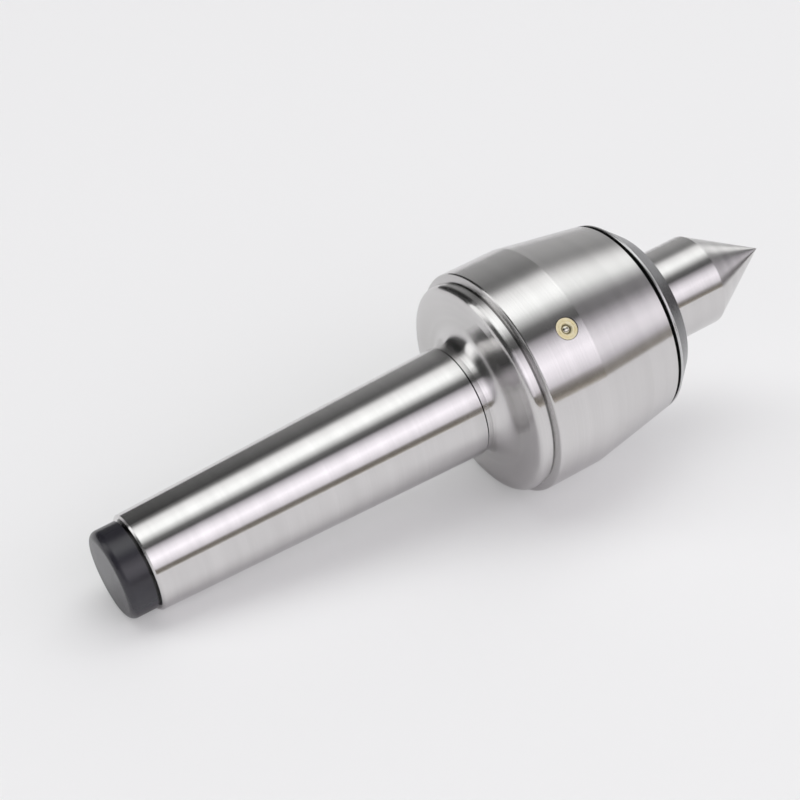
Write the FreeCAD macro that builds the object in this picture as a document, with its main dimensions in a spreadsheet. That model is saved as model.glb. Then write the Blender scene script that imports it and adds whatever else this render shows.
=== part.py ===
import FreeCAD, Part
import Sketcher
import math
import os
from types import SimpleNamespace

# A live center for a lathe's tailstock, with a number 4 Morse taper shank.
# Frame: +X runs along the axis towards the point and +Z is up. The origin is the
# centre of the taper's gauge plane. Lengths are in millimetres.

Vector = FreeCAD.Vector
Placement = FreeCAD.Placement
Rotation = FreeCAD.Rotation

doc = FreeCAD.newDocument("live_center")

# ---------------------------------------------------------------- driving sizes
# Names that end in _x are places along the axis. Every radius is measured from it.

SIZES = {
    # Morse taper shank: gauge diameter 31.267, taper 1 in 19.254
    "gauge_radius": 15.6335,
    "taper_ratio": 19.254,
    "shank_rear_x": -89.9,
    "shank_chamfer": 0.45,
    "taper_front_x": 6.45,
    "relief_radius": 15.1,
    "relief_width": 0.4,
    "neck_radius": 15.5,
    "neck_fillet": 4.6,
    # flange, and the spigot that carries the housing
    "flange_rear_x": 13.05,
    "flange_bevel_radius": 26.5,
    "flange_bevel_rise": 0.6,
    "flange_front_x": 17.2,
    "flange_radius": 30.4,
    "flange_round": 1.9,
    "spigot_radius": 27.5,
    "spigot_front_x": 25.5,
    "spigot_chamfer": 0.6,
    "edge_break": 0.3,
    # bores in the shank
    "shank_bore_radius": 8.2,
    "rear_seat_radius": 9.0,
    "rear_seat_front_x": -70.0,
    "thrust_pocket_x": 17.0,
    # bearing housing
    "housing_radius": 32.4,
    "housing_round": 0.6,
    "housing_facet_x": 35.4,
    "housing_front_x": 60.55,
    "housing_front_radius": 28.35,
    "seam_radius": 30.0,
    "seam_width": 0.25,
    "step_rise": 0.75,
    "housing_shoulder_radius": 21.5,
    "housing_thread_radius": 24.5,
    # front dust shield
    "shield_rear_x": 61.45,
    "shield_radius": 28.1,
    "shield_rim": 0.65,
    "shield_front_x": 68.15,
    "shield_front_radius": 22.8,
    "shield_recess_radius": 25.2,
    "shield_recess_depth": 1.3,
    "shield_bore_chamfer": 0.8,
    # spindle
    "nose_radius": 13.4,
    "nose_front_x": 89.2,
    "point_flat_radius": 0.15,
    "point_half_angle": 30.0,
    "thread_radius": 12.3,
    "thrust_seat_radius": 10.0,
    "thrust_seat_rear_x": 17.6,
    "thrust_seat_front_x": 27.0,
    "shaft_radius": 7.5,
    "journal_radius": 6.0,
    "journal_front_x": -66.0,
    "spindle_rear_x": -84.5,
    "spindle_edge": 0.6,
    # two deep-groove ball bearings, 25 x 47 x 12
    "bearing_bore_radius": 12.5,
    "bearing_outer_radius": 23.5,
    "bearing_width": 12.0,
    "middle_bearing_x": 32.0,
    "front_bearing_x": 44.0,
    "inner_land_radius": 15.9,
    "outer_land_radius": 20.1,
    "ball_radius": 3.175,
    "ball_pitch_radius": 18.0,
    "ball_count": 12,
    "ring_chamfer": 0.6,
    "cage_inner_radius": 16.6,
    "cage_outer_radius": 19.4,
    "cage_width": 8.2,
    "race_gap": 0.15,
    "pocket_gap": 0.12,
    "pocket_reach": 1.0,
    # thrust ball bearing, 20 x 35 x 10
    "thrust_outer_radius": 17.5,
    "thrust_washer_thickness": 2.9,
    "thrust_width": 10.0,
    "thrust_ball_radius": 2.5,
    "thrust_pitch_radius": 13.75,
    "thrust_ball_count": 12,
    "thrust_running_gap": 0.5,
    "thrust_cage_thickness": 2.4,
    "thrust_cage_inner_radius": 10.6,
    "thrust_cage_outer_radius": 16.9,
    # drawn-cup needle bearing, 12 x 18 x 12
    "cup_rear_x": -82.0,
    "cup_wall": 0.9,
    "cup_lip": 0.8,
    "cup_lip_radius": 6.5,
    "needle_radius": 1.0,
    "needle_length": 10.0,
    "needle_pitch_radius": 7.05,
    "needle_count": 14,
    "needle_cage_inner_radius": 6.55,
    "needle_cage_outer_radius": 7.6,
    "needle_cage_rim": 0.6,
    # internal circlip behind the needle cup
    "circlip_groove_radius": 9.6,
    "circlip_groove_width": 1.1,
    "circlip_thickness": 1.0,
    "circlip_inner_radius": 7.4,
    "circlip_mouth": 4.0,
    # slotted lock nut and its washer
    "lock_washer_thickness": 1.0,
    "lock_washer_radius": 16.5,
    "lock_nut_thickness": 3.8,
    "lock_nut_radius": 18.5,
    "lock_nut_slot_width": 5.0,
    "lock_nut_slot_depth": 2.0,
    "lock_nut_slot_count": 4,
    "washer_tab_width": 4.0,
    # threaded bearing retainer with four holes for a pin spanner
    "retainer_thickness": 4.4,
    "retainer_bore_radius": 17.0,
    "retainer_lip": 1.0,
    "retainer_lip_radius": 14.5,
    "spanner_hole_radius": 1.6,
    "spanner_hole_circle": 20.8,
    "spanner_hole_depth": 3.0,
    "spanner_hole_count": 4,
    "seal_gap": 0.1,
    "seal_thickness": 3.3,
    "seal_waist_radius": 15.2,
    "seal_lip_width": 0.8,
    # black plug on the tail
    "cap_rear_x": -97.9,
    "cap_radius": 12.15,
    "cap_round": 2.1,
    "cap_groove_radius": 11.3,
    "cap_groove_width": 0.7,
    "cap_seat_gap": 0.05,
    "cap_spigot_front_x": -85.4,
    "cap_hollow_radius": 7.0,
    "cap_hollow_rear_x": -93.9,
    # flush ball oiler, 6 mm, at 45 degrees on the housing
    "oiler_x": 30.4,
    "oiler_angle": 45.0,
    "oiler_face": 32.2,
    "oiler_radius": 3.0,
    "oiler_length": 6.0,
    "oiler_mouth_radius": 1.3,
    "oiler_mouth_depth": 0.45,
    "oiler_mouth_flare": 0.35,
    "oiler_bore_radius": 1.65,
    "oiler_outlet_radius": 0.8,
    "oiler_floor": 0.7,
    "oiler_ring_radius": 2.25,
    "oiler_ring_width": 0.3,
    "oiler_ring_depth": 0.2,
    "oiler_ball_radius": 1.5,
    "oil_way_radius": 1.5,
    "spring_wire_radius": 0.18,
    "spring_coil_radius": 1.15,
    "spring_turns": 3.5,
}


class Size:
    """A number together with the sheet formula that gives it."""

    def __init__(self, value, formula):
        self.value = float(value)
        self.formula = formula

    def __add__(self, other):
        other = as_size(other)
        return Size(self.value + other.value, f"({self.formula} + {other.formula})")

    def __sub__(self, other):
        other = as_size(other)
        return Size(self.value - other.value, f"({self.formula} - {other.formula})")

    def __mul__(self, other):
        other = as_size(other)
        return Size(self.value * other.value, f"({self.formula} * {other.formula})")

    def __truediv__(self, other):
        other = as_size(other)
        return Size(self.value / other.value, f"({self.formula} / {other.formula})")


def as_size(number):
    if isinstance(number, Size):
        return number
    return Size(number, f"({number})")


def make_sheet():
    """Write the driving sizes to the sheet and return them by name."""
    sheet = doc.addObject("Spreadsheet::Sheet", "sizes")
    sheet.Label = "sizes"
    for row, (name, value) in enumerate(SIZES.items(), start=1):
        sheet.set(f"A{row}", name)
        sheet.set(f"B{row}", str(value))
        sheet.setAlias(f"B{row}", name)
    doc.recompute()
    return SimpleNamespace(**{name: Size(sheet.get(name), f"sizes.{name}") for name in SIZES})


d = make_sheet()
ZERO = Size(0.0, "0")
ALONG_X = Rotation(Vector(0, 0, 1), Vector(1, 0, 0))
nodes = []


def keep(piece, label):
    """Name a finished piece and list it for export."""
    piece.Label = label
    nodes.append(piece)
    return piece


# ------------------------------------------------------------------ shape makers

def origin_plane(body, role):
    return next(f for f in body.Origin.OriginFeatures if f.Role == role)


def pin_corner(sketch, line, corner):
    """Fix the first end of a line at its (x, radius), each bound to the sheet."""
    for kind, axis, size in (("DistanceX", -2, corner[0]), ("DistanceY", -1, corner[1])):
        if abs(size.value) < 1e-9:
            sketch.addConstraint(Sketcher.Constraint("PointOnObject", line, 1, axis))
            continue
        rule = Sketcher.Constraint(kind, -1, 1, line, 1, size.value)
        index = sketch.addConstraint(rule)
        sketch.setExpression(f"Constraints[{index}]", size.formula)


def turned(name, outline):
    """A body turned about X from a closed outline of (x, radius) corners."""
    body = doc.addObject("PartDesign::Body", name)
    sketch = body.newObject("Sketcher::SketchObject", name + "_outline")
    sketch.AttachmentSupport = [(origin_plane(body, "XY_Plane"), "")]
    sketch.MapMode = "FlatFace"
    corners = [(as_size(x), as_size(radius)) for x, radius in outline]
    points = [Vector(x.value, radius.value, 0) for x, radius in corners]
    count = len(points)
    for i in range(count):
        sketch.addGeometry(Part.LineSegment(points[i], points[(i + 1) % count]), False)
    for i in range(count):
        sketch.addConstraint(Sketcher.Constraint("Coincident", i, 2, (i + 1) % count, 1))
    for i in range(count):
        pin_corner(sketch, i, corners[i])
    turn = body.newObject("PartDesign::Revolution", name + "_turn")
    turn.Profile = sketch
    turn.ReferenceAxis = (sketch, ["H_Axis"])
    turn.Angle = 360
    sketch.Visibility = False
    doc.recompute()
    return body


def ring_edges(shape, places):
    """Names of the circular edges at the given (x, radius) places."""
    names = []
    for x, radius in places:
        for number, edge in enumerate(shape.Edges, start=1):
            if not isinstance(edge.Curve, Part.Circle):
                continue
            off_x = abs(edge.Curve.Center.x - as_size(x).value)
            off_radius = abs(edge.Curve.Radius - as_size(radius).value)
            if off_x < 1e-4 and off_radius < 1e-4:
                names.append(f"Edge{number}")
    if len(names) != len(places):
        raise RuntimeError(f"found {len(names)} of {len(places)} ring edges")
    return names


def dress(body, kind, size, places):
    """Fillet or chamfer the ring-shaped edges at the (x, radius) places."""
    base = body.Tip
    names = ring_edges(base.Shape, places)
    feature = body.newObject("PartDesign::" + kind, f"{body.Name}_{kind.lower()}")
    feature.Base = (base, names)
    feature.setExpression("Radius" if kind == "Fillet" else "Size", as_size(size).formula)
    doc.recompute()
    return body


def ring(name, rear_x, front_x, inner, outer, chamfer=None):
    """A plain ring about X, its outer corners chamfered if asked."""
    outline = [(rear_x, inner), (rear_x, outer), (front_x, outer), (front_x, inner)]
    body = turned(name, outline)
    if chamfer is not None:
        dress(body, "Chamfer", chamfer, [(rear_x, outer), (front_x, outer)])
    return body


def bind(piece, **sizes):
    """Tie a primitive's sizes to the sheet."""
    for prop, size in sizes.items():
        piece.setExpression(prop, as_size(size).formula)
    return piece


def around(pitch, count, index, x):
    """Place on the pitch circle in the plane at x, with its angle in degrees."""
    angle = 360.0 * index / count
    turn = math.radians(angle)
    place = Vector(x.value, -pitch.value * math.sin(turn), pitch.value * math.cos(turn))
    return place, angle


def ball_ring(name, x, pitch, count, radius):
    """A ring of equal balls on a pitch circle about X."""
    balls = []
    for i in range(int(count.value)):
        ball = bind(doc.addObject("Part::Sphere", f"{name}_{i + 1}"), Radius=radius)
        ball.Placement = Placement(around(pitch, count.value, i, x)[0], Rotation())
        balls.append(ball)
    group = doc.addObject("Part::Compound", name)
    group.Links = balls
    return group


def rod_ring(name, x, pitch, count, radius, length):
    """A ring of equal rods that lie along X on a pitch circle, starting at x."""
    rods = []
    for i in range(int(count.value)):
        rod = doc.addObject("Part::Cylinder", f"{name}_{i + 1}")
        bind(rod, Radius=radius, Height=length)
        rod.Placement = Placement(around(pitch, count.value, i, x)[0], ALONG_X)
        rods.append(rod)
    group = doc.addObject("Part::Compound", name)
    group.Links = rods
    return group


def radial_ring(name, x, bottom, count, radius, length):
    """A ring of equal rods that stand outwards from a radius in the plane at x."""
    rods = []
    for i in range(int(count.value)):
        rod = bind(doc.addObject("Part::Cylinder", f"{name}_{i + 1}"), Radius=radius, Height=length)
        place, angle = around(bottom, count.value, i, x)
        rod.Placement = Placement(place, Rotation(Vector(1, 0, 0), angle))
        rods.append(rod)
    group = doc.addObject("Part::Compound", name)
    group.Links = rods
    return group


def race(name, x, pitch, tube):
    """The torus that a ball groove is cut with."""
    torus = bind(doc.addObject("Part::Torus", name), Radius1=pitch, Radius2=tube)
    torus.Placement = Placement(Vector(x.value, 0, 0), ALONG_X)
    return torus


def cut(base, tool, label):
    """The base less the tool, kept as a finished piece."""
    result = doc.addObject("Part::Cut", label)
    result.Base = base
    result.Tool = tool
    return keep(result, label)


def block_ring(name, count, x, bottom, length, width, height):
    """Blocks set round the axis: each starts at x and stands from a radius outwards."""
    blocks = []
    for i in range(int(count.value)):
        block = doc.addObject("Part::Box", f"{name}_{i + 1}")
        bind(block, Length=length, Width=width, Height=height)
        turn = Rotation(Vector(1, 0, 0), 360.0 * i / count.value)
        corner = Vector(x.value, -width.value / 2, bottom.value)
        block.Placement = Placement(turn.multVec(corner), turn)
        blocks.append(block)
    group = doc.addObject("Part::Compound", name)
    group.Links = blocks
    return group


# -------------------------------------------------------------------- the pieces

def taper_radius(x):
    """Radius of the Morse taper at a place along the axis."""
    return d.gauge_radius + x / (d.taper_ratio * 2)


def shank_body():
    """Taper shank, neck and flange, bored through, with the spigot for the housing."""
    x, chamfer = d.shank_rear_x, d.shank_chamfer
    rim_x = d.flange_rear_x + d.flange_bevel_rise
    outline = [
        (x, d.rear_seat_radius),
        (x, taper_radius(x) - chamfer),
        (x + chamfer, taper_radius(x + chamfer)),
        (d.taper_front_x, taper_radius(d.taper_front_x)),
        (d.taper_front_x, d.relief_radius),
        (d.taper_front_x + d.relief_width, d.relief_radius),
        (d.taper_front_x + d.relief_width, d.neck_radius),
        (d.flange_rear_x, d.neck_radius),
        (d.flange_rear_x, d.flange_bevel_radius),
        (rim_x, d.flange_radius),
        (d.flange_front_x, d.flange_radius),
        (d.flange_front_x, d.spigot_radius),
        (d.spigot_front_x, d.spigot_radius),
        (d.spigot_front_x, d.thrust_outer_radius),
        (d.thrust_pocket_x, d.thrust_outer_radius),
        (d.thrust_pocket_x, d.shank_bore_radius),
        (d.rear_seat_front_x, d.shank_bore_radius),
        (d.rear_seat_front_x, d.rear_seat_radius),
        (d.cup_rear_x, d.rear_seat_radius),
        (d.cup_rear_x, d.circlip_groove_radius),
        (d.cup_rear_x - d.circlip_groove_width, d.circlip_groove_radius),
        (d.cup_rear_x - d.circlip_groove_width, d.rear_seat_radius),
    ]
    body = turned("shank_body", outline)
    dress(body, "Fillet", d.neck_fillet, [(d.flange_rear_x, d.neck_radius)])
    dress(body, "Fillet", d.flange_round, [(rim_x, d.flange_radius)])
    dress(body, "Chamfer", d.spigot_chamfer, [(d.spigot_front_x, d.spigot_radius)])
    dress(body, "Chamfer", d.edge_break, [(d.flange_front_x, d.flange_radius)])
    keep(body, "shank_body")


def oiler_place(height):
    """Point on the oiler's axis at a height above the spindle axis, and its turn."""
    turn = math.radians(d.oiler_angle.value)
    out = Vector(0, -math.sin(turn), math.cos(turn))
    point = Vector(d.oiler_x.value, 0, 0) + out * height.value
    return Placement(point, Rotation(Vector(1, 0, 0), out))


def housing_sleeve():
    """Bearing housing: rear skirt over the spigot, shoulder, bearing bore, thread."""
    rear, front = d.flange_front_x, d.housing_front_x
    bearings_end = d.front_bearing_x + d.bearing_width
    step = rear + d.seam_width
    outline = [
        (rear, d.spigot_radius),
        (rear, d.seam_radius),
        (step, d.seam_radius),
        (step + d.step_rise, d.housing_radius),
        (d.housing_facet_x, d.housing_radius),
        (front, d.housing_front_radius),
        (front, d.housing_thread_radius),
        (bearings_end, d.housing_thread_radius),
        (bearings_end, d.bearing_outer_radius),
        (d.middle_bearing_x, d.bearing_outer_radius),
        (d.middle_bearing_x, d.housing_shoulder_radius),
        (d.spigot_front_x + d.race_gap, d.housing_shoulder_radius),
        (d.spigot_front_x + d.race_gap, d.spigot_radius),
    ]
    blank = turned("housing_blank", outline)
    dress(blank, "Fillet", d.housing_round, [(step + d.step_rise, d.housing_radius)])
    dress(blank, "Chamfer", d.edge_break, [(front, d.housing_front_radius)])
    floor = d.oiler_face - d.oiler_length
    seat = doc.addObject("Part::Cylinder", "oiler_seat")
    bind(seat, Radius=d.oiler_radius, Height=d.oiler_length * 2)
    way = doc.addObject("Part::Cylinder", "oil_way")
    bind(way, Radius=d.oil_way_radius, Height=d.oiler_face)
    up = Rotation(Vector(0, 0, 1), Vector(1, 0, 0))
    seat.Placement = oiler_place(floor) * Placement(Vector(), up)
    way.Placement = oiler_place(floor - d.oiler_length * 2) * Placement(Vector(), up)
    tools = doc.addObject("Part::MultiFuse", "oiler_hole")
    tools.Shapes = [seat, way]
    cut(blank, tools, "housing_sleeve")


def oiler():
    """Brass body, steel ball and coil spring, turned about X and set at their angle."""
    top, bottom = ZERO, ZERO - d.oiler_length
    mouth = ZERO - d.oiler_mouth_depth
    ring_in = d.oiler_ring_radius - d.oiler_ring_width / 2
    ring_out = d.oiler_ring_radius + d.oiler_ring_width / 2
    outline = [
        (bottom, d.oiler_outlet_radius),
        (bottom, d.oiler_radius),
        (top, d.oiler_radius),
        (top, ring_out),
        (ZERO - d.oiler_ring_depth, ring_out),
        (ZERO - d.oiler_ring_depth, ring_in),
        (top, ring_in),
        (top, d.oiler_mouth_radius + d.oiler_mouth_flare),
        (mouth, d.oiler_mouth_radius),
        (mouth - d.oiler_mouth_depth / 2, d.oiler_mouth_radius),
        (mouth - d.oiler_mouth_depth * 1.5, d.oiler_bore_radius),
        (bottom + d.oiler_floor, d.oiler_bore_radius),
        (bottom + d.oiler_floor, d.oiler_outlet_radius),
    ]
    body = turned("oiler_body", outline)
    body.Placement = oiler_place(d.oiler_face)
    keep(body, "oiler_body")

    # the top of the ball is level with the oiler's face
    ball_height = d.oiler_face - d.oiler_ball_radius
    ball = bind(doc.addObject("Part::Sphere", "oiler_ball"), Radius=d.oiler_ball_radius)
    ball.Placement = oiler_place(ball_height)
    keep(ball, "oiler_ball")

    foot = d.oiler_face - d.oiler_length + d.oiler_floor + d.spring_wire_radius
    # the top coil meets the ball where the ball is as wide as the coil
    sag = math.sqrt(d.oiler_ball_radius.value ** 2 - d.spring_coil_radius.value ** 2)
    height = ball_height - sag - d.spring_wire_radius * 2 - foot
    coil = doc.addObject("PartDesign::Body", "oiler_spring")
    wire = coil.newObject("Sketcher::SketchObject", "spring_wire")
    wire.AttachmentSupport = [(origin_plane(coil, "XZ_Plane"), "")]
    wire.MapMode = "FlatFace"
    centre = Vector(d.spring_coil_radius.value, 0, 0)
    wire.addGeometry(Part.Circle(centre, Vector(0, 0, 1), d.spring_wire_radius.value), False)
    wire.addConstraint(Sketcher.Constraint("PointOnObject", 0, 3, -1))
    reach = Sketcher.Constraint("DistanceX", -1, 1, 0, 3, d.spring_coil_radius.value)
    wire.setExpression(f"Constraints[{wire.addConstraint(reach)}]", d.spring_coil_radius.formula)
    width = Sketcher.Constraint("Radius", 0, d.spring_wire_radius.value)
    wire.setExpression(f"Constraints[{wire.addConstraint(width)}]", d.spring_wire_radius.formula)
    helix = coil.newObject("PartDesign::AdditiveHelix", "spring_coil")
    helix.Profile = wire
    helix.ReferenceAxis = (wire, ["V_Axis"])
    helix.Mode = "pitch-height-angle"
    bind(helix, Pitch=height / d.spring_turns, Height=height)
    turn = Rotation(Vector(0, 0, 1), Vector(1, 0, 0))
    coil.Placement = oiler_place(foot) * Placement(Vector(), turn)
    keep(coil, "oiler_spring")


def spindle():
    """Point, nose and shaft in one piece, stepped down towards the tail."""
    slope = math.tan(math.radians(d.point_half_angle.value))
    point_x = d.nose_front_x + (d.nose_radius - d.point_flat_radius) / slope
    bearings_end = d.front_bearing_x + d.bearing_width
    edge = d.spindle_edge
    outline = [
        (d.spindle_rear_x, ZERO),
        (d.spindle_rear_x, d.journal_radius - edge),
        (d.spindle_rear_x + edge, d.journal_radius),
        (d.journal_front_x, d.journal_radius),
        (d.journal_front_x, d.shaft_radius),
        (d.thrust_seat_rear_x, d.shaft_radius),
        (d.thrust_seat_rear_x, d.thrust_seat_radius),
        (d.thrust_seat_front_x, d.thrust_seat_radius),
        (d.thrust_seat_front_x, d.thread_radius),
        (d.middle_bearing_x, d.thread_radius),
        (d.middle_bearing_x, d.bearing_bore_radius),
        (bearings_end, d.bearing_bore_radius),
        (bearings_end, d.nose_radius),
        (d.nose_front_x, d.nose_radius),
        (point_x, d.point_flat_radius),
        (point_x, ZERO),
    ]
    keep(turned("spindle", outline), "spindle")


def ball_bearing(where, x):
    """Outer ring, inner ring, cage and balls of one deep-groove bearing."""
    front = x + d.bearing_width
    middle = x + d.bearing_width / 2
    groove = d.ball_radius + d.race_gap
    outer = ring(where + "_outer_blank", x, front, d.outer_land_radius,
                 d.bearing_outer_radius, d.ring_chamfer)
    outer_race = race(where + "_outer_race", middle, d.ball_pitch_radius, groove)
    cut(outer, outer_race, where + "_bearing_outer_ring")
    inner = ring(where + "_inner_blank", x, front, d.bearing_bore_radius, d.inner_land_radius)
    inner_race = race(where + "_inner_race", middle, d.ball_pitch_radius, groove)
    cut(inner, inner_race, where + "_bearing_inner_ring")
    cage = ring(where + "_cage_blank", middle - d.cage_width / 2, middle + d.cage_width / 2,
                d.cage_inner_radius, d.cage_outer_radius)
    pocket_depth = d.cage_outer_radius - d.cage_inner_radius + d.pocket_reach * 2
    pockets = radial_ring(where + "_pockets", middle, d.cage_inner_radius - d.pocket_reach,
                          d.ball_count, d.ball_radius + d.pocket_gap, pocket_depth)
    cut(cage, pockets, where + "_bearing_cage")
    balls = ball_ring(where + "_balls", middle, d.ball_pitch_radius, d.ball_count,
                      d.ball_radius)
    keep(balls, where + "_bearing_balls")


def thrust_bearing():
    """Housing washer, shaft washer, cage and balls that take the end load."""
    rear = d.thrust_pocket_x
    front = rear + d.thrust_width
    middle = rear + d.thrust_width / 2
    groove = d.thrust_ball_radius + d.race_gap
    gap = d.thrust_running_gap
    housing_blank = ring("thrust_housing_blank", rear, rear + d.thrust_washer_thickness,
                         d.thrust_seat_radius + gap, d.thrust_outer_radius)
    housing_race = race("thrust_housing_race", middle, d.thrust_pitch_radius, groove)
    cut(housing_blank, housing_race, "thrust_housing_washer")
    shaft_blank = ring("thrust_shaft_blank", front - d.thrust_washer_thickness, front,
                       d.thrust_seat_radius, d.thrust_outer_radius - gap)
    shaft_race = race("thrust_shaft_race", middle, d.thrust_pitch_radius, groove)
    cut(shaft_blank, shaft_race, "thrust_shaft_washer")
    half = d.thrust_cage_thickness / 2
    cage = ring("thrust_cage_blank", middle - half, middle + half,
                d.thrust_cage_inner_radius, d.thrust_cage_outer_radius)
    pockets = rod_ring("thrust_pockets", middle - half * 2, d.thrust_pitch_radius,
                       d.thrust_ball_count, d.thrust_ball_radius + d.pocket_gap, half * 4)
    cut(cage, pockets, "thrust_cage")
    balls = ball_ring("thrust_balls", middle, d.thrust_pitch_radius, d.thrust_ball_count,
                      d.thrust_ball_radius)
    keep(balls, "thrust_balls")


def needle_bearing():
    """Drawn cup with turned-in lips, slotted cage and needles on the rear journal."""
    rear, front = d.cup_rear_x, d.rear_seat_front_x
    track = d.rear_seat_radius - d.cup_wall
    outline = [
        (rear, d.cup_lip_radius),
        (rear, d.rear_seat_radius),
        (front, d.rear_seat_radius),
        (front, d.cup_lip_radius),
        (front - d.cup_lip, d.cup_lip_radius),
        (front - d.cup_lip, track),
        (rear + d.cup_lip, track),
        (rear + d.cup_lip, d.cup_lip_radius),
    ]
    keep(turned("needle_cup", outline), "needle_cup")
    middle = (rear + front) / 2
    needle_start = middle - d.needle_length / 2
    cage_gap = (front - rear - d.cup_lip * 2 - d.needle_length) / 4
    # the needles leave a rim of cage at both ends
    cage = ring("needle_cage_blank", rear + d.cup_lip + cage_gap, front - d.cup_lip - cage_gap,
                d.needle_cage_inner_radius, d.needle_cage_outer_radius)
    rim = d.needle_cage_rim
    slots = rod_ring("needle_slots", needle_start + rim - d.pocket_gap, d.needle_pitch_radius,
                     d.needle_count, d.needle_radius + d.pocket_gap,
                     d.needle_length - rim * 2 + d.pocket_gap * 2)
    cut(cage, slots, "needle_cage")
    needles = rod_ring("needles", needle_start + rim, d.needle_pitch_radius, d.needle_count,
                       d.needle_radius, d.needle_length - rim * 2)
    keep(needles, "needle_rollers")


def rear_circlip():
    """Internal snap ring, open at the bottom, in its groove behind the needle cup."""
    slack = (d.circlip_groove_width - d.circlip_thickness) / 2
    front = d.cup_rear_x - slack
    blank = ring("circlip_blank", front - d.circlip_thickness, front,
                 d.circlip_inner_radius, d.circlip_groove_radius - d.race_gap)
    mouth = doc.addObject("Part::Box", "circlip_mouth")
    bind(mouth, Length=d.circlip_thickness * 3, Width=d.circlip_mouth,
         Height=d.circlip_groove_radius * 2)
    corner = Vector(front.value - 2 * d.circlip_thickness.value,
                    -d.circlip_mouth.value / 2,
                    -2 * d.circlip_groove_radius.value)
    mouth.Placement = Placement(corner, Rotation())
    cut(blank, mouth, "rear_circlip")


def lock_nut():
    """Slotted nut and tab washer that hold the inner rings on the spindle."""
    washer_rear = d.middle_bearing_x - d.lock_washer_thickness
    nut_rear = washer_rear - d.lock_nut_thickness
    blank = ring("lock_nut_blank", nut_rear, washer_rear, d.thread_radius,
                 d.lock_nut_radius, d.spindle_edge)
    slots = block_ring("lock_nut_slots", d.lock_nut_slot_count, nut_rear - d.lock_nut_thickness,
                       d.lock_nut_radius - d.lock_nut_slot_depth,
                       d.lock_nut_thickness * 3, d.lock_nut_slot_width,
                       d.lock_nut_slot_depth * 2)
    cut(blank, slots, "spindle_lock_nut")
    disc = ring("lock_washer_disc", washer_rear, d.middle_bearing_x, d.thread_radius,
                d.lock_washer_radius)
    tabs = block_ring("lock_washer_tabs", d.lock_nut_slot_count, washer_rear,
                      d.lock_washer_radius - d.lock_nut_slot_depth,
                      d.lock_washer_thickness, d.washer_tab_width,
                      d.lock_nut_slot_depth * 2)
    washer = doc.addObject("Part::MultiFuse", "lock_washer")
    washer.Shapes = [disc, *tabs.Links]
    keep(washer, "lock_washer")


def retainer():
    """Threaded ring that clamps the outer rings, with the shaft seal in its bore."""
    rear = d.front_bearing_x + d.bearing_width
    front = rear + d.retainer_thickness
    outline = [
        (rear, d.outer_land_radius),
        (rear, d.housing_thread_radius),
        (front, d.housing_thread_radius),
        (front, d.retainer_lip_radius),
        (front - d.retainer_lip, d.retainer_lip_radius),
        (front - d.retainer_lip, d.retainer_bore_radius),
        (rear + d.retainer_lip, d.retainer_bore_radius),
        (rear + d.retainer_lip, d.outer_land_radius),
    ]
    blank = turned("retainer_blank", outline)
    dress(blank, "Chamfer", d.ring_chamfer, [(front, d.housing_thread_radius)])
    holes = rod_ring("spanner_holes", front - d.spanner_hole_depth, d.spanner_hole_circle,
                     d.spanner_hole_count, d.spanner_hole_radius, d.spanner_hole_depth * 2)
    cut(blank, holes, "retainer_nut")

    lip = d.nose_radius + d.seal_gap
    seal_front = front - d.retainer_lip
    seal_rear = seal_front - d.seal_thickness + d.retainer_lip
    outline = [
        (seal_rear, lip),
        (seal_rear, d.retainer_bore_radius),
        (seal_front, d.retainer_bore_radius),
        (seal_front, lip),
        (seal_front - d.seal_lip_width, lip),
        (seal_front - d.seal_lip_width, d.seal_waist_radius),
        (seal_rear + d.seal_lip_width, d.seal_waist_radius),
        (seal_rear + d.seal_lip_width, lip),
    ]
    keep(turned("shaft_seal", outline), "shaft_seal")


def dust_shield():
    """Dark ring on the nose: thin rim, wide chamfer, flat front and recessed back."""
    rear, front = d.shield_rear_x, d.shield_front_x
    floor = rear + d.shield_recess_depth
    outline = [
        (floor, d.nose_radius),
        (floor, d.shield_recess_radius),
        (rear, d.shield_recess_radius),
        (rear, d.shield_radius),
        (rear + d.shield_rim, d.shield_radius),
        (front, d.shield_front_radius),
        (front, d.nose_radius + d.shield_bore_chamfer),
        (front - d.shield_bore_chamfer, d.nose_radius),
    ]
    body = turned("dust_shield", outline)
    dress(body, "Chamfer", d.edge_break, [(rear, d.shield_radius), (front, d.shield_front_radius)])
    keep(body, "dust_shield")


def tail_cap():
    """Hollow black plug with a rounded rear edge and a groove under its head."""
    seat = d.shank_rear_x - d.cap_seat_gap
    head = seat - d.cap_groove_width
    spigot = d.rear_seat_radius - d.cap_seat_gap
    outline = [
        (d.cap_rear_x, ZERO),
        (d.cap_rear_x, d.cap_radius),
        (head, d.cap_radius),
        (head, d.cap_groove_radius),
        (seat, d.cap_groove_radius),
        (seat, spigot),
        (d.cap_spigot_front_x, spigot),
        (d.cap_spigot_front_x, d.cap_hollow_radius),
        (d.cap_hollow_rear_x, d.cap_hollow_radius),
        (d.cap_hollow_rear_x, ZERO),
    ]
    body = turned("tail_cap", outline)
    dress(body, "Fillet", d.cap_round, [(d.cap_rear_x, d.cap_radius)])
    keep(body, "tail_cap")


# ------------------------------------------------------------- check and export

def check(objects):
    """Stop if any object failed to compute or any piece has no sound solid."""
    for item in objects:
        if any(flag in ("Invalid", "Error") for flag in item.State):
            raise RuntimeError(f"{item.Label}: {item.State}")
    for piece in nodes:
        shape = piece.Shape
        if shape.isNull() or not shape.isValid() or not shape.Solids:
            raise RuntimeError(f"{piece.Label}: no valid solid")


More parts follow.
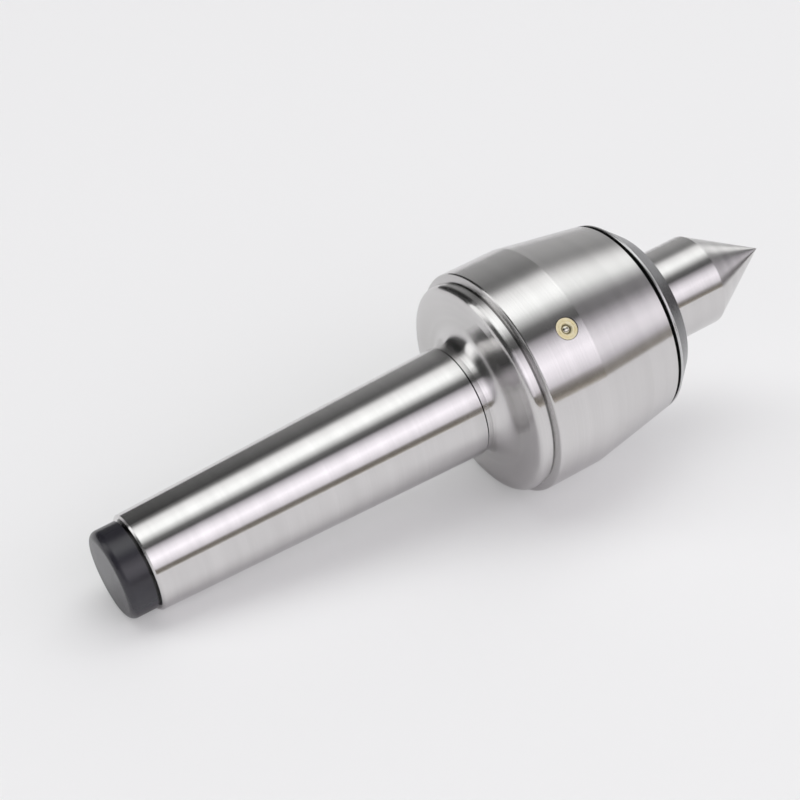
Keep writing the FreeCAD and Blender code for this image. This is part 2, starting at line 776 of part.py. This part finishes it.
def main():
    shank_body()
    housing_sleeve()
    oiler()
    spindle()
    ball_bearing("front", d.front_bearing_x)
    ball_bearing("middle", d.middle_bearing_x)
    thrust_bearing()
    needle_bearing()
    rear_circlip()
    lock_nut()
    retainer()
    dust_shield()
    tail_cap()
    doc.recompute()
    check(doc.Objects)
    os.makedirs("parts", exist_ok=True)
    for piece in nodes:
        piece.Shape.exportStep(f"parts/{piece.Label}.step")
        box = piece.Shape.BoundBox
        print(f"{piece.Label}: {len(piece.Shape.Solids)} solids, {piece.Shape.Volume:.1f} mm3, "
              f"x {box.XMin:.2f} to {box.XMax:.2f}, radius {box.ZMax:.2f}")


main()
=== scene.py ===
import math

import bpy
from mathutils import Matrix, Vector


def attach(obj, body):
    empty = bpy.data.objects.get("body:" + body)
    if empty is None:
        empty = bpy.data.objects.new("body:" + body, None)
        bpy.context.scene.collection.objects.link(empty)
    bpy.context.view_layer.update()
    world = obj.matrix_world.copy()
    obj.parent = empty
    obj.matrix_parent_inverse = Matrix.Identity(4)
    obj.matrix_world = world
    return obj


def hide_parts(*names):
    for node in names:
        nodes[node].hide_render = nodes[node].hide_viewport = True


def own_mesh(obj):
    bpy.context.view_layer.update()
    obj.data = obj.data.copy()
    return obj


# A live center lying on a pale studio table, its tail plug and the rear edge of its
# housing touching the table. The part's own frame has +X along the axis to the point.

MM = 0.001

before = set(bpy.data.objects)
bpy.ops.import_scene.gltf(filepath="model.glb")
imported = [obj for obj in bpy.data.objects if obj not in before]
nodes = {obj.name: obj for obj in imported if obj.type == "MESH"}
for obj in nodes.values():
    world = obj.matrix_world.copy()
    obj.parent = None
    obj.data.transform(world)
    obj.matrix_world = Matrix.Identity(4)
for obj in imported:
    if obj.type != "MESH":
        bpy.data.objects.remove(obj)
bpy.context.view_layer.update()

# ------------------------------------------------------------------- the setting

# the two rounded edges that rest on the table: place along the axis, radius out to the
# middle of the round, and the round's own radius
HEEL = (18.64 * MM, 31.8 * MM, 0.6 * MM)
TAIL = (-95.8 * MM, 10.05 * MM, 2.1 * MM)
# how far the part is rolled about its axis, so that the oiler is at 45 degrees in its frame
ROLL = math.radians(1.65)
OILER_X = 30.4 * MM
OILER_FACE = 32.2 * MM
OILER_OUT = Vector((0, -math.sin(math.radians(45)), math.cos(math.radians(45))))
OILER_RADIUS = 3.0 * MM
BALL_SEAT = 1.3 * MM
# half the width of the painted shade rings round the oiler and round its ball
OILER_FIT = 0.14 * MM
# what paints shade on the steel in its grooves and seams: the middle along the axis, half
# the width, the radius that the painted shade stays under, and how dark it is
NECK_GROOVE = (6.67 * MM, 0.27 * MM, 15.55 * MM, 0.9)
SEAM = (17.3 * MM, 0.14 * MM, 30.25 * MM, 0.62)
SLEEVE_STEP = (17.85 * MM, 0.36 * MM, 32.3 * MM, 0.14)
# the dust shield's rim: its radius, and how far along the painted shade from the gap reaches
SHIELD_RIM = (27.8 * MM, 61.6 * MM)
# the tail plug's groove, beside the end of the shank; the plug is painted black as shade from
# here forward
CAP_GROOVE_FROM = -90.62 * MM

GROUND_STEEL = (0.66, 0.65, 0.645)
BRIGHT_STEEL = (0.62, 0.62, 0.62)
# the colour of painted shade in grooves, gaps and rings
PAINTED_SHADE_COLOUR = (0.02, 0.019, 0.018)
BLACK = (0.0, 0.0, 0.0)
STEEL_ROUGHNESS = 0.18
# how deep each finish's texture is
STEEL_GRAIN = 0.0016 * MM
OXIDE_GRAIN = 0.006 * MM
PLASTIC_GRAIN = 0.01 * MM
POLISH_LINES = 0.003 * MM
BRASS_RINGS = 0.01 * MM
PAPER_FIBRE = 0.05 * MM
SPRING_STEEL_NODES = ("needle_cage", "lock_washer", "rear_circlip", "oiler_spring")

CAMERA_AT = Vector((-0.18216, -0.36131, 0.28646))
CAMERA_TO = Vector((-0.00735, 0.00429, 0.00559))
CAMERA_LENS = 83.25

FLOOR_SIZE = 12.0
FLOOR_COLOUR = (0.90, 0.90, 0.90)
BACKGROUND = (0.83, 0.83, 0.83)


def table_plane():
    """A point on the table and its normal: it touches the housing and the tail plug."""
    along = HEEL[0] - TAIL[0]
    rise = HEEL[1] - TAIL[1]
    slope = math.atan2(rise, along) + math.asin((HEEL[2] - TAIL[2]) / math.hypot(along, rise))
    up = Vector((0, -math.sin(ROLL), math.cos(ROLL)))
    normal = Vector((1, 0, 0)) * math.sin(slope) + up * math.cos(slope)
    heel = Vector((HEEL[0], 0, 0)) - up * HEEL[1]
    return heel - normal * HEEL[2], normal


# ------------------------------------------------------------------ shader nodes

class Shader:
    """Builds one material or world as a chain of nodes."""

    def __init__(self, tree):
        self.tree = tree
        tree.nodes.clear()

    def add(self, kind, inputs=None, **settings):
        node = self.tree.nodes.new("ShaderNode" + kind)
        for name, value in settings.items():
            setattr(node, name, value)
        for name, value in (inputs or {}).items():
            socket = node.inputs[name]
            if isinstance(value, bpy.types.NodeSocket):
                self.tree.links.new(value, socket)
            else:
                socket.default_value = value
        return node

    def math(self, operation, first, second=0.0, third=0.0):
        node = self.add("Math", {0: first, 1: second, 2: third}, operation=operation)
        return node.outputs[0]

    def vector(self, operation, first, second=(0, 0, 0), output="Vector"):
        node = self.add("VectorMath", {0: first, 1: second}, operation=operation)
        return node.outputs[output]

    def noise(self, scale, detail=2.0, roughness=0.5, vector=None, w=None):
        inputs = {"Scale": scale, "Detail": detail, "Roughness": roughness}
        inputs["Vector" if w is None else "W"] = vector if w is None else w
        kind = "3D" if w is None else "1D"
        return self.add("TexNoise", inputs, noise_dimensions=kind).outputs["Fac"]

    def ramp(self, factor, stops, interpolation="LINEAR"):
        node = self.add("ValToRGB", {"Fac": factor})
        node.color_ramp.interpolation = interpolation
        elements = node.color_ramp.elements
        while len(elements) < len(stops):
            elements.new(0.5)
        for element, (place, colour) in zip(elements, stops):
            element.position = place
            if isinstance(colour, (int, float)):
                colour = (colour, colour, colour)
            element.color = (*colour, 1.0)
        return node.outputs["Color"]

    def between(self, factor, low, high):
        """A value from low to high as the factor goes from 0.3 to 0.7."""
        node = self.add("MapRange", {
            "Value": factor, "From Min": 0.3, "From Max": 0.7, "To Min": low, "To Max": high,
        })
        return node.outputs["Result"]

    def mix(self, factor, first, second):
        node = self.add("Mix", data_type="RGBA")
        for name, value in (("Factor", factor), ("A", first), ("B", second)):
            wanted = "VALUE" if name == "Factor" else "RGBA"
            socket = next(s for s in node.inputs if s.name == name and s.type == wanted)
            if isinstance(value, bpy.types.NodeSocket):
                self.tree.links.new(value, socket)
            else:
                socket.default_value = value if name == "Factor" else (*value, 1.0)
        return next(s for s in node.outputs if s.type == "RGBA")


def material(name):
    mat = bpy.data.materials.new(name)
    mat.use_nodes = True
    return mat, Shader(mat.node_tree)


def finish_surface(shader, inputs, normal=None):
    """End the material with a Principled surface of the given inputs."""
    if normal is not None:
        inputs["Normal"] = normal
    surface = shader.add("BsdfPrincipled", inputs)
    shader.add("OutputMaterial", {"Surface": surface.outputs["BSDF"]})


def turned_place(shader):
    """The object's points, and their place along X and distance from it."""
    point = shader.add("TexCoord").outputs["Object"]
    x = shader.add("SeparateXYZ", {"Vector": point}).outputs["X"]
    return point, x, axis_distance(shader, point, (0, 0, 0), (1, 0, 0))


def axis_distance(shader, point, centre, axis):
    """How far a point is from the line through a centre along a unit axis."""
    arm = shader.vector("SUBTRACT", point, tuple(centre))
    across = shader.vector("CROSS_PRODUCT", arm, tuple(axis))
    return shader.vector("LENGTH", across, output="Value")


def turned_coordinate(shader, x, radius):
    """A number that changes along any surface turned about X."""
    return shader.math("MULTIPLY_ADD", radius, -1.7, x)


def painted_groove_shade(shader, x, radius, grooves):
    """How dark the painted shade is in the grooves, from 0 outside them."""
    shade_amount = 0.0
    for middle, reach, top, depth in grooves:
        shade_ring = shader.math("MULTIPLY", shader.math("COMPARE", x, middle, reach),
                           shader.math("LESS_THAN", radius, top))
        shade_amount = shader.math("MAXIMUM", shade_amount, shader.math("MULTIPLY", shade_ring, depth))
    return shade_amount


def steel(name, colour, grain, grooves=(), port=None):
    """Ground steel: fine rings about X, faint bands and stains, with painted shade in its grooves
    and round the oiler's port.
    """
    mat, s = material(name)
    point, x, radius = turned_place(s)
    along = turned_coordinate(s, x, radius)
    fine = s.noise(grain, detail=3.0, roughness=0.6, w=along)
    band = s.noise(grain * 0.06, detail=2.0, w=along)
    cloud = s.noise(38.0, detail=4.0, roughness=0.6, vector=point)
    smear = s.noise(260.0, detail=2.0, vector=s.vector("MULTIPLY", point, (1.0, 0.12, 0.12)))
    tone = s.math("MULTIPLY_ADD", fine, 0.5, s.math("MULTIPLY", band, 0.5))
    light = tuple(min(c * 1.05, 1.0) for c in colour)
    dark = tuple(c * 0.93 for c in colour)
    base = s.mix(s.between(tone, 0.0, 1.0), dark, light)
    shade_amount = painted_groove_shade(s, x, radius, grooves)
    if port is not None:
        # a ring of painted shade round the oiler, where the gap between oiler and housing lies in
        # shadow
        fit = axis_distance(s, point, *port)
        shade_ring = s.math("COMPARE", fit, OILER_RADIUS, OILER_FIT)
        shade_amount = s.math("MAXIMUM", shade_amount, s.math("MULTIPLY", shade_ring, 0.9))
    # painted shade: the steel's colour is darkened in its grooves, its seams and round the oiler,
    # where shade falls
    base = s.mix(shade_amount, base, PAINTED_SHADE_COLOUR)
    wear = s.math("MULTIPLY_ADD", cloud, 0.6, s.math("MULTIPLY", smear, 0.4))
    rough = s.between(wear, STEEL_ROUGHNESS * 0.88, STEEL_ROUGHNESS * 1.12)
    bump = s.add("Bump", {"Height": fine, "Strength": 1.0, "Distance": STEEL_GRAIN})
    tangent = s.add("Tangent", direction_type="RADIAL", axis="X")
    finish_surface(s, {
        "Base Color": base,
        "Metallic": 1.0,
        "Roughness": rough,
        "Anisotropic": 1.0,
        "Anisotropic Rotation": 0.25,
        "Tangent": tangent.outputs["Tangent"],
    }, bump.outputs["Normal"])
    return mat


def oxide(name, colour, roughness, rim=None):
    """Black-oxide steel: turned rings and a cloudy bloom. A rim is worn to bright steel, with
    painted shade on its rear part beside the gap.
    """
    mat, s = material(name)
    point, x, radius = turned_place(s)
    along = turned_coordinate(s, x, radius)
    fine = s.noise(2600.0, detail=3.0, roughness=0.6, w=along)
    cloud = s.noise(120.0, detail=5.0, roughness=0.65, vector=point)
    light = tuple(c * 1.35 for c in colour)
    base = s.mix(s.between(cloud, 0.0, 1.0), colour, light)
    if rim is not None:
        # the rim's rear part, beside the gap, gets painted shade; the rest of the rim is worn to
        # bright steel
        edge = s.mix(s.math("GREATER_THAN", x, rim[1]), PAINTED_SHADE_COLOUR, BRIGHT_STEEL)
        base = s.mix(s.math("GREATER_THAN", radius, rim[0]), base, edge)
    rough = s.between(cloud, roughness * 0.85, roughness * 1.15)
    bump = s.add("Bump", {"Height": fine, "Strength": 1.0, "Distance": OXIDE_GRAIN})
    finish_surface(s, {
        "Base Color": base,
        "Metallic": 0.9,
        "Roughness": rough,
    }, bump.outputs["Normal"])
    return mat


def plastic(name, colour, roughness, shade_from=1.0):
    """Moulded plastic or rubber with a fine spark-eroded grain, painted black past a place on X
    as painted shade.
    """
    mat, s = material(name)
    point, x, _ = turned_place(s)
    grain = s.noise(5200.0, detail=2.0, roughness=0.6, vector=point)
    cloud = s.noise(90.0, detail=3.0, vector=point)
    light = tuple(c * 1.3 for c in colour)
    base = s.mix(s.between(cloud, 0.0, 1.0), colour, light)
    # painted shade: the plug is pure black past this place, in its groove
    base = s.mix(s.math("GREATER_THAN", x, shade_from), base, BLACK)
    rough = s.between(cloud, roughness * 0.9, roughness * 1.12)
    bump = s.add("Bump", {"Height": grain, "Strength": 0.6, "Distance": PLASTIC_GRAIN})
    finish_surface(s, {
        "Base Color": base,
        "Roughness": rough,
        "Specular IOR Level": 0.5,
    }, bump.outputs["Normal"])
    return mat


def polished(name, colour, roughness):
    """Polished bearing steel with faint hairlines and finger-print haze."""
    mat, s = material(name)
    point = s.add("TexCoord").outputs["Object"]
    haze = s.noise(160.0, detail=4.0, roughness=0.6, vector=point)
    lines = s.noise(1800.0, detail=2.0, vector=s.vector("MULTIPLY", point, (1.0, 0.1, 0.1)))
    light = tuple(min(c * 1.06, 1.0) for c in colour)
    base = s.mix(s.between(haze, 0.0, 1.0), colour, light)
    rough = s.between(haze, roughness * 0.8, roughness * 1.25)
    bump = s.add("Bump", {"Height": lines, "Strength": 0.4, "Distance": POLISH_LINES})
    finish_surface(s, {"Base Color": base, "Metallic": 1.0, "Roughness": rough},
                   bump.outputs["Normal"])
    return mat


def brass(name, colour, roughness, centre, axis, shade_ring_radius=0.0):
    """Turned brass with rings about its own axis, slightly dulled patches and a ring of painted
    shade.
    """
    mat, s = material(name)
    point = s.add("TexCoord").outputs["Object"]
    radius = axis_distance(s, point, centre, axis)
    rings = s.noise(4200.0, detail=3.0, roughness=0.6, w=radius)
    patina = s.noise(900.0, detail=4.0, roughness=0.6, vector=point)
    dull = (colour[0] * 0.88, colour[1] * 0.84, colour[2] * 0.72)
    base = s.mix(s.between(patina, 0.0, 1.0), dull, colour)
    # a ring of painted shade at the given radius, round the ball's opening
    shade_ring = s.math("MULTIPLY", s.math("COMPARE", radius, shade_ring_radius, OILER_FIT), 0.35)
    base = s.mix(shade_ring, base, PAINTED_SHADE_COLOUR)
    rough = s.between(patina, roughness * 1.25, roughness * 0.8)
    bump = s.add("Bump", {"Height": rings, "Strength": 1.0, "Distance": BRASS_RINGS})
    finish_surface(s, {"Base Color": base, "Metallic": 0.75, "Roughness": rough},
                   bump.outputs["Normal"])
    return mat


def dress_nodes():
    """Give every CAD node its material."""
    oiler_centre = Vector((OILER_X, 0, 0)) + OILER_OUT * OILER_FACE
    x_axis = Vector((1, 0, 0))
    port = (oiler_centre, OILER_OUT)
    finishes = {
        "shank_body": steel("shank_ground_steel", GROUND_STEEL, 3200.0, (NECK_GROOVE, SEAM)),
        "housing_sleeve": steel("housing_ground_steel", GROUND_STEEL, 2800.0, (SEAM, SLEEVE_STEP),
                                port),
        "spindle": steel("spindle_ground_steel", GROUND_STEEL, 3000.0),
        "dust_shield": oxide("shield_oxide", (0.10, 0.10, 0.104), 0.24, SHIELD_RIM),
        "retainer_nut": oxide("retainer_oxide", (0.07, 0.072, 0.075), 0.45),
        "spindle_lock_nut": oxide("lock_nut_oxide", (0.07, 0.072, 0.075), 0.45),
        "tail_cap": plastic("cap_black_plastic", (0.022, 0.0215, 0.027), 0.24, CAP_GROOVE_FROM),
        "shaft_seal": plastic("seal_rubber", (0.02, 0.02, 0.021), 0.6),
        "oiler_body": brass("oiler_brass", (1.0, 0.93, 0.66), 0.40, *port, shade_ring_radius=BALL_SEAT),
        "oiler_ball": polished("oiler_ball_steel", (0.55, 0.53, 0.46), 0.12),
    }
    cage_brass = brass("cage_brass", (0.72, 0.55, 0.27), 0.33, Vector((0, 0, 0)), x_axis)
    plain_steel = polished("bearing_polished_steel", (0.72, 0.72, 0.725), 0.12)
    spring_steel = polished("spring_steel", (0.5, 0.5, 0.51), 0.28)
    for name in nodes:
        if name in finishes:
            continue
        if name in SPRING_STEEL_NODES:
            finishes[name] = spring_steel
        elif name.endswith("_cage"):
            finishes[name] = cage_brass
        else:
            finishes[name] = plain_steel
    for name, node in nodes.items():
        node.data.materials.clear()
        node.data.materials.append(finishes[name])


def spring_coil():
    """The oiler's spring: a copy with a mesh of its own, carried by the housing in place of the
    hidden CAD node.
    """
    coil = bpy.data.objects.new("oiler_spring_coil", nodes["oiler_spring"].data.copy())
    bpy.context.collection.objects.link(coil)
    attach(coil, "housing")
    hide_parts("oiler_spring")
    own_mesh(coil)


# ------------------------------------------------------- light, table and camera

# Light round the part's axis, from straight up (0 degrees) towards the camera's side
# (90 degrees): each stop is an angle, a brightness and a tint. A cool softbox hangs
# overhead, a rosy one stands on the camera's side, and the dark room shows between them.
NEUTRAL = (1.0, 1.0, 1.0)
COOL = (1.0, 1.015, 1.01)
ROSE = (1.01, 0.97, 1.03)
EARTH = (1.12, 1.0, 0.86)
STUDIO = (
    (-180.0, 0.30, NEUTRAL),
    (-122.0, 0.80, NEUTRAL),
    (-105.0, 0.55, NEUTRAL),
    (-90.0, 0.44, NEUTRAL),
    (-65.0, 0.36, NEUTRAL),
    (-45.0, 0.22, NEUTRAL),
    (-37.0, 0.14, NEUTRAL),
    (-31.0, 0.18, NEUTRAL),
    (-20.0, 1.16, NEUTRAL),
    (-3.0, 1.58, COOL),
    (6.0, 1.54, COOL),
    (15.0, 0.86, COOL),
    (23.0, 0.22, NEUTRAL),
    (32.0, 0.10, NEUTRAL),
    (37.0, 0.66, ROSE),
    (48.0, 1.28, ROSE),
    (60.0, 1.66, ROSE),
    (81.0, 0.90, ROSE),
    (84.0, 0.20, EARTH),
    (91.0, 0.17, EARTH),
    (96.0, 0.62, EARTH),
    (180.0, 0.62, NEUTRAL),
)
# The same, seen ahead of the part, where the softboxes stand farther apart.
STUDIO_AHEAD = (
    (-180.0, 0.50, NEUTRAL),
    (-120.0, 0.75, NEUTRAL),
    (-95.0, 0.60, NEUTRAL),
    (-60.0, 0.47, NEUTRAL),
    (-46.0, 0.36, NEUTRAL),
    (-38.0, 0.42, NEUTRAL),
    (-24.0, 1.05, NEUTRAL),
    (-11.0, 1.40, COOL),
    (-1.0, 1.32, COOL),
    (9.0, 0.62, COOL),
    (18.0, 0.15, NEUTRAL),
    (31.0, 0.08, NEUTRAL),
    (38.0, 0.26, ROSE),
    (50.0, 0.84, ROSE),
    (64.0, 1.18, ROSE),
    (75.0, 1.08, ROSE),
    (87.0, 0.55, ROSE),
    (92.0, 0.20, EARTH),
    (101.0, 0.22, EARTH),
    (108.0, 0.55, EARTH),
    (180.0, 0.62, NEUTRAL),
)
# What the cone of the point sees straight ahead: a card stands beyond a dark gap. The
# stops run across the part, from the camera's side (-1) to the far side (1).
CARD_AHEAD = (
    (-1.0, 0.78, NEUTRAL),
    (-0.10, 0.84, ROSE),
    (-0.01, 0.80, ROSE),
    (0.03, 0.40, ROSE),
    (0.07, 0.05, NEUTRAL),
    (0.21, 0.02, NEUTRAL),
    (0.26, 0.38, NEUTRAL),
    (0.33, 1.14, NEUTRAL),
    (0.46, 1.10, NEUTRAL),
    (0.56, 0.76, NEUTRAL),
    (0.70, 0.68, NEUTRAL),
    (1.0, 0.72, NEUTRAL),
)
LIGHT_SCALE = 2.0
# The rear softbox: it shows on the positive side of its straight far edge, and fades
# out across its near edge.
REAR_FAR_EDGE = (-0.619, -0.765, 0.181)
REAR_NEAR_EDGE = (0.335, 0.921, 0.199)
REAR_FAR_FADE = (-0.03, 0.03)
REAR_NEAR_FADE = (-0.05, 0.3)
REAR_BRIGHTNESS = 1.35
# how much brighter the light is for diffuse rays than for reflections
FLOOR_FILL = 1.52
# how much of the table's brightness the camera sees as its own glow, and that glow
TABLE_GLOW = (0.28, 0.83)
# A low dark card on the table, ahead of the point: how far, how wide and how high.
DARK_CARD = (0.34, 0.26, 0.05)
CARD_FELT = ((0.12, 0.11, 0.11), (0.18, 0.165, 0.165))
# where the light goes over from one table to the next, by how far ahead (1) or behind (-1)
# a direction looks
INTO_AHEAD = (0.32, 0.62)
INTO_CARD = (0.74, 0.86)
INTO_BEHIND = (-0.15, -0.42)
UNDIMMED = (0.60, 0.70)
# where the far side and the camera's side begin, as angles round the axis, and how much of
# their light is left: from and to a place ahead, and the share at each
FAR_SIDE = (-34.0, -38.0)
NEAR_SIDE = (20.0, 30.0)
FAR_DIM = (0.14, 0.45, 0.05, 1.35)
NEAR_DIM = (-0.65, -0.05, 0.35, 1.0)
REAR_ROOM = (0.03, 0.03, 0.03)


def lamp_ramp(s, place, stops, low, high):
    """A light ramp whose stops run from low to high."""
    span = high - low
    scaled = [((at - low) / span, tuple(level * t / LIGHT_SCALE for t in tint))
              for at, level, tint in stops]
    return s.ramp(s.math("DIVIDE", s.math("SUBTRACT", place, low), span), scaled)


def step_up(s, value, start, end, low=0.0, high=1.0, smooth=True):
    """A value that goes from low to high as another goes from start to end."""
    kind = "SMOOTHSTEP" if smooth else "LINEAR"
    node = s.add("MapRange", {"Value": value, "From Min": start, "From Max": end,
                              "To Min": low, "To Max": high}, interpolation_type=kind)
    return node.outputs["Result"]


def studio_light():
    """The softboxes and the room, as light that depends on direction alone."""
    world = bpy.data.worlds.new("studio")
    bpy.context.scene.world = world
    world.use_nodes = True
    s = Shader(world.node_tree)
    direction = s.add("TexCoord").outputs["Generated"]
    way = s.add("SeparateXYZ", {"Vector": direction})
    along, across = way.outputs["X"], way.outputs["Y"]
    turn = s.math("ARCTAN2", s.math("MULTIPLY", across, -1.0), way.outputs["Z"])
    angle = s.math("MULTIPLY", turn, 180.0 / math.pi)
    beside = lamp_ramp(s, angle, STUDIO, -180.0, 180.0)
    ahead = lamp_ramp(s, angle, STUDIO_AHEAD, -180.0, 180.0)
    card = lamp_ramp(s, across, CARD_AHEAD, -1.0, 1.0)
    level = s.mix(step_up(s, along, *INTO_AHEAD), beside, ahead)
    level = s.mix(step_up(s, along, *INTO_CARD), level, card)

    # behind the part the far side darkens and the camera's side fades
    far_side = step_up(s, angle, *FAR_SIDE)
    near_side = step_up(s, angle, *NEAR_SIDE)
    overhead = s.math("SUBTRACT", s.math("SUBTRACT", 1.0, far_side), near_side)
    behind = step_up(s, along, *INTO_BEHIND)
    far_dim = step_up(s, along, *FAR_DIM, smooth=False)
    near_dim = step_up(s, along, *NEAR_DIM)
    dim = s.math("MULTIPLY_ADD", far_side, far_dim, s.math("MULTIPLY", near_side, near_dim))
    dim = s.math("MULTIPLY_ADD", overhead, s.math("SUBTRACT", 1.0, behind), dim)
    dim = s.math("MAXIMUM", dim, step_up(s, along, *UNDIMMED))
    level = s.mix(dim, BLACK, level)
    far_edge = s.vector("DOT_PRODUCT", direction, REAR_FAR_EDGE, output="Value")
    near_edge = s.vector("DOT_PRODUCT", direction, REAR_NEAR_EDGE, output="Value")
    box = s.math("MULTIPLY", step_up(s, far_edge, *REAR_FAR_FADE),
                 step_up(s, near_edge, *REAR_NEAR_FADE))
    box = s.math("MULTIPLY", box, behind)
    rear = s.mix(box, REAR_ROOM, (REAR_BRIGHTNESS / LIGHT_SCALE,) * 3)
    level = s.mix(behind, level, s.vector("MAXIMUM", level, rear))

    path = s.add("LightPath")
    fill = step_up(s, path.outputs["Is Diffuse Ray"], 0.0, 1.0, LIGHT_SCALE,
                   LIGHT_SCALE * FLOOR_FILL, smooth=False)
    light = s.add("Background", {"Color": level, "Strength": fill})
    seen = s.add("Background", {"Color": (*BACKGROUND, 1.0), "Strength": 1.0})
    both = s.add("MixShader", {0: path.outputs["Is Camera Ray"], 1: light.outputs[0],
                               2: seen.outputs[0]})
    s.add("OutputWorld", {"Surface": both.outputs[0]})


def flat_sheet(name, corners):
    """A flat four-cornered object."""
    mesh = bpy.data.meshes.new(name)
    mesh.from_pydata(corners, [], [(0, 1, 2, 3)])
    sheet = bpy.data.objects.new(name, mesh)
    bpy.context.collection.objects.link(sheet)
    return sheet


def table():
    """A wide pale table under the part. The camera sees a little of its brightness as a
    glow, and sees through its underside."""
    point, normal = table_plane()
    half = FLOOR_SIZE / 2
    corners = [(-half, -half, 0), (half, -half, 0), (half, half, 0), (-half, half, 0)]
    top = flat_sheet("table_top", corners)
    turn = normal.to_track_quat("Z", "Y").to_matrix().to_4x4()
    top.matrix_world = Matrix.Translation(point) @ turn
    mat, s = material("table_paper")
    spot = s.add("TexCoord").outputs["Object"]
    fibre = s.noise(900.0, detail=3.0, vector=spot)
    bump = s.add("Bump", {"Height": fibre, "Strength": 0.15, "Distance": PAPER_FIBRE})
    paper = s.add("BsdfPrincipled", {
        "Base Color": (*FLOOR_COLOUR, 1.0), "Roughness": 0.55, "Specular IOR Level": 0.25,
        "Normal": bump.outputs["Normal"],
    })
    glow = s.add("Emission", {"Strength": TABLE_GLOW[1]})
    clear = s.add("BsdfTransparent")
    seen = s.add("LightPath").outputs["Is Camera Ray"]
    lit = s.add("MixShader", {0: s.math("MULTIPLY", seen, TABLE_GLOW[0]),
                              1: paper.outputs[0], 2: glow.outputs[0]})
    under = s.math("MULTIPLY", s.add("NewGeometry").outputs["Backfacing"], seen)
    both = s.add("MixShader", {0: under, 1: lit.outputs[0], 2: clear.outputs[0]})
    s.add("OutputMaterial", {"Surface": both.outputs[0]})
    top.data.materials.append(mat)


def dark_card():
    """A low dark card on the table ahead of the point, with faded ends. Only the part's
    reflections show it."""
    point, normal = table_plane()
    far, width, height = DARK_CARD
    ahead = Vector((1, 0, 0)) - normal * normal.x
    ahead.normalize()
    side = normal.cross(ahead)
    foot = point + ahead * far
    corners = [foot + side * (width * across) + normal * (height * up)
               for across, up in ((-0.5, 0), (0.5, 0), (0.5, 1), (-0.5, 1))]
    card = flat_sheet("dark_card", corners)
    card.visible_camera = False
    card.visible_diffuse = False
    card.visible_shadow = False
    mat, s = material("card_felt")
    spot = s.add("TexCoord").outputs["Object"]
    felt = s.mix(s.noise(700.0, detail=3.0, vector=spot), *CARD_FELT)
    from_middle = s.math("ABSOLUTE", s.add("SeparateXYZ", {"Vector": spot}).outputs["Y"])
    edge = step_up(s, from_middle, width / 2, width / 4)
    finish_surface(s, {"Base Color": felt, "Roughness": 0.9, "Alpha": edge})
    card.data.materials.append(mat)


def camera():
    """The camera, level with the table's horizon."""
    data = bpy.data.cameras.new("camera")
    data.lens = CAMERA_LENS
    data.sensor_width = 36.0
    data.clip_start = 0.01
    data.clip_end = 50.0
    holder = bpy.data.objects.new("camera", data)
    bpy.context.collection.objects.link(holder)
    normal = table_plane()[1]
    forward = (CAMERA_TO - CAMERA_AT).normalized()
    right = forward.cross(normal).normalized()
    up = right.cross(forward)
    turn = Matrix((right, up, -forward)).transposed().to_4x4()
    holder.matrix_world = Matrix.Translation(CAMERA_AT) @ turn
    bpy.context.scene.camera = holder


dress_nodes()
spring_coil()
studio_light()
table()
dark_card()
camera()
bpy.context.scene.view_settings.view_transform = "Standard"
